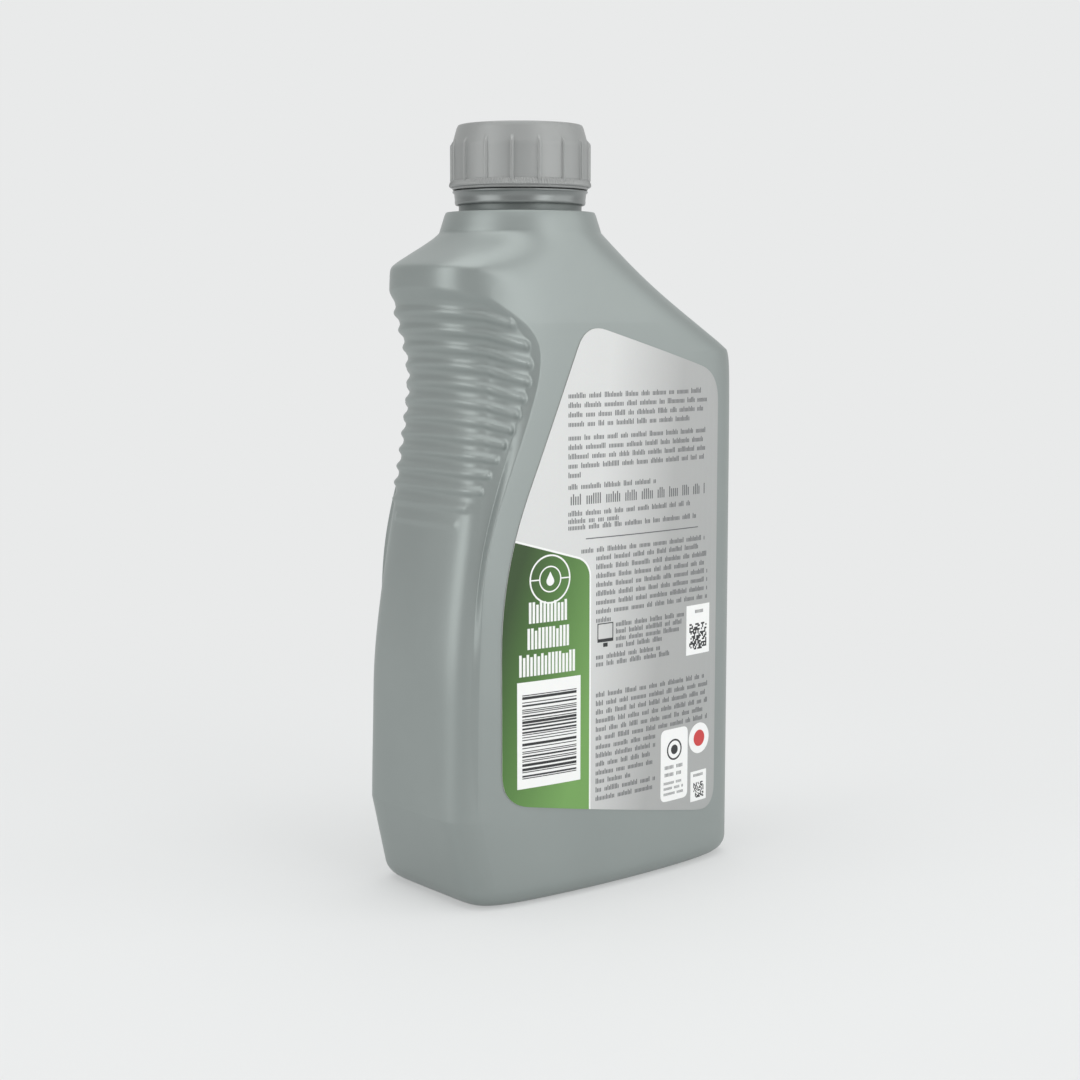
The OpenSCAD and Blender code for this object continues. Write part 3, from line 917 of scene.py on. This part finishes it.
def press_on(bm):
    """Push a flat sheet, whose y is its lift, on to the front face."""
    for vert in bm.verts:
        x, lift, z = vert.co
        vert.co.y = -(face_depth(x, z) + lift)


print("face stands out", round(face_depth(0.0, 100.0), 2), "in the middle")

# %% Drawing flat shapes


def rounded_outline(corners, sizes, points=8):
    """Corners of a flat shape, each rounded over its own size."""
    found = []
    for i, corner in enumerate(corners):
        p = Vector(corner)
        a, b = Vector(corners[i - 1]), Vector(corners[(i + 1) % len(corners)])
        start = p + (a - p).normalized() * sizes[i]
        end = p + (b - p).normalized() * sizes[i]
        if sizes[i] == 0:
            found.append(p)
            continue
        for k in range(points + 1):
            t = k / points
            found.append(start.lerp(p, t).lerp(p.lerp(end, t), t))
    return found


def flat_face(bm, outline, lift):
    verts = [bm.verts.new((p[0], lift, p[1])) for p in outline]
    return bm.faces.new(verts)


def cut(bm, point, normal, clear=False):
    """Cut every face along a plane, and clear what lies in front of it."""
    bmesh.ops.bisect_plane(bm, geom=bm.verts[:] + bm.edges[:] + bm.faces[:], dist=1e-5,
                           plane_co=point, plane_no=normal, clear_outer=clear)


def cut_in_strips(bm, step=2.5, step_up=8.0):
    """Cut a flat sheet often enough to bend it round the face."""
    xs, zs = [v.co.x for v in bm.verts], [v.co.z for v in bm.verts]
    for i in range(int((max(xs) - min(xs)) / step)):
        cut(bm, (min(xs) + step * (i + 1), 0, 0), (1, 0, 0))
    for i in range(int((max(zs) - min(zs)) / step_up)):
        cut(bm, (0, 0, min(zs) + step_up * (i + 1)), (0, 0, 1))


def thicken(bm, thickness):
    """Give a flat sheet its thickness, outwards."""
    faces = bm.faces[:]
    out = bmesh.ops.extrude_face_region(bm, geom=faces)["geom"]
    moved = [item for item in out if isinstance(item, bmesh.types.BMVert)]
    bmesh.ops.translate(bm, vec=(0, thickness, 0), verts=moved)
    bmesh.ops.recalc_face_normals(bm, faces=bm.faces)


def print_piece(bm, name, material, thickness):
    """Cut a flat drawing in strips, thicken it, press it on and finish it."""
    cut_in_strips(bm)
    thicken(bm, thickness)
    press_on(bm)
    return finish_piece(bm, name, "bottle", material, smooth=False)


# %% Label outline
label_left, label_right = -41.2, 44.0
label_top_z, label_top_fall = 166.8, 0.28
label_bottom_z, label_bottom_fall = 24.0, 0.18
label_peak_x, label_bend_z, label_corner, label_peak, label_bend = -12.0, 99.5, 9.0, 7.5, 24.0
label_lift, label_t, ink_t = 0.07, 0.16, 0.03
label_corners = [
    (label_left, label_bottom_z - label_left * label_bottom_fall),
    (label_right, label_bottom_z - label_right * label_bottom_fall),
    (label_right, label_top_z - label_right * label_top_fall),
    (label_peak_x, label_top_z - label_peak_x * label_top_fall),
    (label_left, label_bend_z)]
label_sizes = [label_corner, label_corner, label_corner, label_peak, label_bend]
label_outline = rounded_outline(label_corners, label_sizes, 10)

# %% [markdown]
# The film is silver white. Towards the edge away from the grip, and lower down,
# it turns a little greyer: one ramp runs across the label and leans a bit.
# The green grows darker upwards and towards the grip. The other inks are nearly
# flat colours, and a slight grain keeps them from looking like cut paper.

# %% Label materials


grain_scale, grain_share = 1800.0, 0.06


def film(name, stops, roughness, from_x=-42.0, to_x=44.0, slope=0.0):
    """Printed film whose tone runs across the label, with a fine grain."""
    material, tree, shader, place = new_material(name)
    split = add_node(tree, "SeparateXYZ", {"Vector": place}).outputs
    lean = maths(tree, "MULTIPLY_ADD", split["Z"], slope, split["X"])
    tone = colour_ramp(tree, stretched(tree, lean, (from_x * MM, to_x * MM)), stops)
    grain = noise(tree, place, grain_scale)["Color"]
    feed(tree, shader, {
        "Base Color": mix_colours(tree, grain_share, tone, grain, "MULTIPLY"),
        "Roughness": roughness})
    return material


silver_film = film("silver_film", [
    (0.0, srgb(216, 217, 216)), (0.2, srgb(213, 214, 213)), (0.38, srgb(189, 190, 189)),
    (0.5, srgb(170, 171, 170)), (1.0, srgb(161, 164, 163))], 0.33, -42.0, 60.0, -0.12)
green_ink = film("green_ink", [
    (0.0, srgb(44, 72, 28)), (0.35, srgb(74, 116, 52)), (1.0, srgb(113, 160, 85))],
    0.33, -70.0, -30.0, -0.35)
white_ink = film("white_ink", [(0.0, srgb(244, 245, 243)), (1.0, srgb(240, 241, 240))], 0.35)
dark_ink = film("dark_ink", [(0.0, srgb(96, 98, 100)), (1.0, srgb(92, 94, 96))], 0.4)
black_ink = film("black_ink", [(0.0, srgb(40, 42, 44)), (1.0, srgb(38, 40, 42))], 0.4)
red_ink = film("red_ink", [(0.0, srgb(204, 60, 60)), (1.0, srgb(200, 58, 58))], 0.35)

# %% Label film
label_bm = bmesh.new()
flat_face(label_bm, label_outline, label_lift)
label_film = print_piece(label_bm, "label_film", silver_film, label_t)
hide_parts("label")
paper_lift = label_lift + label_t

# %% [markdown]
# ### The green panel
# The panel fills the lower corner beside the grip. It is the label's own outline
# cut off by two planes, and a fan of planes rounds the corner between them. A
# second, slightly larger cut in white under it leaves the fine light seam.

# %% Green panel
panel_right_x, panel_top_z, panel_fall, panel_round = -10.6, 100.4, 0.285, 6.0


def panel(bm, grow, lift):
    """The label's outline cut down to the panel, with its corner rounded."""
    flat_face(bm, label_outline, lift)
    slope_turn = math.atan(panel_fall)
    cut(bm, (panel_right_x + grow, 0, 0), (1, 0, 0), clear=True)
    top_normal = Vector((math.sin(slope_turn), 0, math.cos(slope_turn)))
    top_point = Vector((panel_right_x, 0, panel_top_z)) + top_normal * grow
    cut(bm, top_point, top_normal, clear=True)
    open_turn = math.pi / 2 - slope_turn
    centre = Vector((panel_right_x - panel_round, 0, 0))
    reach = panel_round / math.cos(slope_turn) - panel_round * math.tan(slope_turn)
    centre.z = panel_top_z - reach
    for i in range(1, 8):
        turn = open_turn * i / 8
        normal = Vector((math.cos(turn), 0, math.sin(turn)))
        cut(bm, centre + normal * (panel_round + grow), normal, clear=True)


seam_bm = bmesh.new()
panel(seam_bm, 0.6, paper_lift)
print_piece(seam_bm, "panel_seam", white_ink, ink_t)
panel_bm = bmesh.new()
panel(panel_bm, 0.0, paper_lift + ink_t)
print_piece(panel_bm, "green_panel", green_ink, ink_t)
panel_lift = paper_lift + 2 * ink_t

# %% [markdown]
# ### Rows of print
# The small print carries no words here. Each block is a grid whose cells are
# strokes and gaps: the cells between strokes, between words and past the end of
# each line are deleted, and what stays looks like print from a step away.

# %% Blocks of strokes
random.seed(12)


def stroke_block(bm, left, ends, top, pitch, height, stroke, gap, lift, words=(4, 13)):
    """Lines of upright strokes from the left edge to each line's own end."""
    step = stroke + gap
    count = int((max(ends) - left) / step)
    grid = bmesh.ops.create_grid(bm, x_segments=2 * count, y_segments=2 * len(ends), size=0.5)
    verts = grid["verts"]
    for vert in verts:
        column = round((vert.co.x + 0.5) * 2 * count)
        row = round((0.5 - vert.co.y) * 2 * len(ends))
        x = left + (column // 2) * step + (column % 2) * stroke
        z = top - (row // 2) * pitch - (row % 2) * height
        vert.co = (x, lift, z)
    word_ends = {}
    for line in range(len(ends)):
        at, spaces = 0, set()
        while at < count:
            at += random.randint(*words)
            spaces.update((at, at + 1))
            at += 2
        word_ends[line] = spaces
    faces = {face for vert in verts for face in vert.link_faces}
    waste = []
    for face in faces:
        middle = face.calc_center_median()
        column = int((middle.x - left) / step)
        in_stroke = abs(middle.x - left - column * step - stroke / 2) < stroke * 0.3
        line = int((top - middle.z) / pitch)
        in_line = abs(top - line * pitch - height / 2 - middle.z) < height * 0.3
        if (not in_stroke or not in_line or middle.x > ends[min(line, len(ends) - 1)]
                or column in word_ends.get(line, ())):
            waste.append(face)
    bmesh.ops.delete(bm, geom=waste, context="FACES")
    return [face for face in faces if face.is_valid]


def uneven_tops(faces, rise, share):
    """Move the tops of some strokes up or down, as letters differ in height."""
    for face in sorted(faces, key=lambda f: (round(f.calc_center_median().z, 3),
                                             round(f.calc_center_median().x, 3))):
        if random.random() < share:
            top = max(v.co.z for v in face.verts)
            for vert in face.verts:
                if vert.co.z > top - 0.01:
                    vert.co.z += rise


# %% Small print
small_print = bmesh.new()
stroke, gap, small_h = 0.3, 0.28, 1.15
blocks = [
    (-18.4, [35.5, 38.8, 36.5, 30.5], 149.7, 2.75),
    (-18.4, [38.2, 36.8, 38.0, 37.2, -14.0], 137.5, 2.72),
    (-18.4, [16.0], 123.2, 2.7),
    (-18.4, [31.0, 0.5], 115.4, 2.2),
    (-18.4, [34.0], 111.3, 2.7),
    (-13.6, [38.4], 104.2, 2.7),
    (-8.0, [36.0, 39.0, 37.5, 39.5, 40.0, 40.0, 39.5, -2.5], 101.7, 2.66),
    (-0.3, [29.5, 27.5, 27.0, 19.5], 81.2, 2.15),
    (-8.0, [18.0, 23.5], 72.0, 2.15),
    (-8.0, [38.5, 40.0, 39.5, 40.5, 38.0, 39.8], 60.6, 2.62),
    (-8.0, [16.5, 16.0, 14.0, 16.0, 6.0, 16.5, 16.0], 44.8, 2.62)]
for left, ends, top, pitch in blocks:
    strokes = stroke_block(small_print, left, ends, top, pitch, small_h, stroke, gap, paper_lift)
    uneven_tops(strokes, 0.45, 0.3)
print_piece(small_print, "small_print", dark_ink, ink_t)

# %% Larger rows, the thin rule and the white rows on the panel
large_print = bmesh.new()
strokes = stroke_block(large_print, -17.6, [38.5], 120.0, 4.0, 2.5, 0.38, 0.45, paper_lift,
                       words=(2, 7))
uneven_tops(strokes, 0.7, 0.35)
rule_left, rule_right, rule_low, rule_high = -12, 34.6, 107.15, 107.45
flat_face(large_print, [(rule_left, rule_low), (rule_right, rule_low), (rule_right, rule_high),
                        (rule_left, rule_high)], paper_lift)
print_piece(large_print, "large_print", dark_ink, ink_t)

white_rows = bmesh.new()
one_word = (40, 41)
for left, right, top, height in [(-32.3, -17.6, 90.2, 6.2), (-32.8, -17.2, 82.6, 6.2),
                                 (-35.6, -15.2, 75.0, 6.4)]:
    strokes = stroke_block(white_rows, left, [right], top, 8.0, height, 0.85, 0.4, panel_lift,
                           words=one_word)
    uneven_tops(strokes, -0.8, 0.3)
print_piece(white_rows, "white_rows", white_ink, ink_t)

# %% [markdown]
# ### Boxes, codes and badges
# These are plain stand-ins for what such a label carries: a code of bars, two
# square codes of random cells, a ring badge with an oil drop, and small plain
# badges. None of them says or copies anything.

# %% Helpers for boxes and rings


def box_face(bm, left, right, low, high, lift, size=0.0):
    corners = [(left, low), (right, low), (right, high), (left, high)]
    return flat_face(bm, rounded_outline(corners, [size] * 4, 5), lift)


def ring_face(bm, centre, outer_r, inner_r, lift, count=48):
    """A flat ring between two bridged circles, or a disc where it has no inner one."""
    made = bmesh.ops.create_circle(bm, cap_ends=inner_r == 0, radius=outer_r, segments=count)
    verts = made["verts"]
    if inner_r > 0:
        verts = verts + bmesh.ops.create_circle(bm, radius=inner_r, segments=count)["verts"]
        edges = list({edge for vert in verts for edge in vert.link_edges})
        bmesh.ops.bridge_loops(bm, edges=edges)
    for vert in verts:
        vert.co = (centre[0] + vert.co.x, lift, centre[1] + vert.co.y)


def random_cells(bm, left, low, cells, size, lift, fill=0.5):
    """A square field of random cells, made as a grid with cells deleted."""
    made = bmesh.ops.create_grid(bm, x_segments=cells, y_segments=cells, size=0.5)
    for vert in made["verts"]:
        vert.co = (left + (vert.co.x + 0.5) * size, lift, low + (vert.co.y + 0.5) * size)
    faces = {face for vert in made["verts"] for face in vert.link_faces}
    order = sorted(faces, key=lambda f: (round(f.calc_center_median().x, 3),
                                         round(f.calc_center_median().z, 3)))
    waste = [face for face in order if random.random() > fill]
    bmesh.ops.delete(bm, geom=waste, context="FACES")


# %% White boxes and badges
boxes = bmesh.new()
bar_box, square_box = (-36.3, -13.9, 35.5, 67.0), (29.6, 40.6, 67.5, 83.0)
badge_box, small_box = (18.6, 30.7, 22.8, 45.4), (32.2, 39.8, 20.6, 30.2)
roundel = (36.1, 40.6)
box_face(boxes, *bar_box, panel_lift)
box_face(boxes, *square_box, paper_lift)
box_face(boxes, *badge_box, paper_lift, 2.2)
box_face(boxes, *small_box, paper_lift)
ring_face(boxes, roundel, 4.85, 0.0, paper_lift)
print_piece(boxes, "white_boxes", white_ink, ink_t)

# %% Bars and cells
bars = bmesh.new()
modules = 95
bar_left, bar_right, bar_low, bar_high = -34.6, -15.4, 38.4, 63.5
made = bmesh.ops.create_grid(bars, x_segments=1, y_segments=modules, size=0.5)
for vert in made["verts"]:
    vert.co = (mix(bar_left, bar_right, vert.co.x + 0.5), panel_lift + ink_t,
               mix(bar_low, bar_high, vert.co.y + 0.5))
waste, at, dark = [], 0, True
lines = sorted(bars.faces, key=lambda f: f.calc_center_median().z)
while at < modules:
    run = random.choice((1, 1, 1, 2, 2, 3))
    if not dark:
        waste += lines[at:at + run]
    at, dark = at + run, not dark
bmesh.ops.delete(bars, geom=waste, context="FACES")
random_cells(bars, 31.0, 69.0, 15, 8.2, paper_lift + ink_t, 0.52)
random_cells(bars, 33.6, 21.6, 12, 4.9, paper_lift + ink_t, 0.52)
print_piece(bars, "bars_and_cells", black_ink, ink_t)

# %% Ring badge with an oil drop, and small signs
ring_badge = bmesh.new()
badge_at = (-24.9, 96.5)
badge_outer_r, badge_inner_r, drop_r = 7.2, 3.9, 1.35
ring_face(ring_badge, badge_at, badge_outer_r, badge_outer_r - 0.5, panel_lift)
ring_face(ring_badge, badge_at, badge_inner_r, badge_inner_r - 0.4, panel_lift)
for side in (-1, 1):
    ends = sorted((badge_at[0] + side * badge_inner_r, badge_at[0] + side * (badge_outer_r - 0.5)))
    box_face(ring_badge, *ends, badge_at[1] - 0.2, badge_at[1] + 0.2, panel_lift)
drop = [(badge_at[0] + drop_r * math.sin(math.radians(a)),
         badge_at[1] - 0.6 - drop_r * math.cos(math.radians(a))) for a in range(-120, 121, 15)]
flat_face(ring_badge, drop + [(badge_at[0], badge_at[1] + 2.2)], panel_lift)
print_piece(ring_badge, "ring_badge", white_ink, ink_t)

signs = bmesh.new()
ring_face(signs, (24.6, 38.8), 3.3, 2.75, paper_lift + ink_t)
ring_face(signs, (24.6, 38.8), 1.5, 0.0, paper_lift + ink_t)
ring_face(signs, (-4.4, 78.4), 0.01, 0.0, paper_lift)
box_face(signs, -7.5, -1.4, 75.9, 76.9, paper_lift)
box_face(signs, -5.3, -3.6, 74.4, 75.6, paper_lift)
for left, right, low, high in [(-7.5, -7.2, 76.9, 81.6), (-1.7, -1.4, 76.9, 81.6),
                               (-7.2, -1.7, 81.3, 81.6)]:
    box_face(signs, left, right, low, high, paper_lift)
print_piece(signs, "small_signs", black_ink, ink_t)

badge_print = bmesh.new()
for left, ends, top, pitch, height, stroke, gap in [
        (20.4, [28.8, 28.0], 34.0, 2.3, 1.1, 0.3, 0.28),
        (20.0, [29.2, 29.2, 29.2], 28.9, 1.7, 0.8, 0.2, 0.22),
        (33.6, [38.2], 81.4, 2.0, 1.0, 0.3, 0.28), (33.6, [38.4], 29.3, 2.0, 0.9, 0.3, 0.28)]:
    stroke_block(badge_print, left, ends, top, pitch, height, stroke, gap, paper_lift + ink_t)
print_piece(badge_print, "badge_print", dark_ink, ink_t)

red_dot = bmesh.new()
ring_face(red_dot, roundel, 2.6, 0.0, paper_lift + ink_t)
print_piece(red_dot, "red_dot", red_ink, ink_t)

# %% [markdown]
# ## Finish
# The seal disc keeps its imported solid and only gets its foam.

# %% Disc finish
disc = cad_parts["cap_liner"]
for material_slot in disc.material_slots:
    material_slot.material = disc_foam
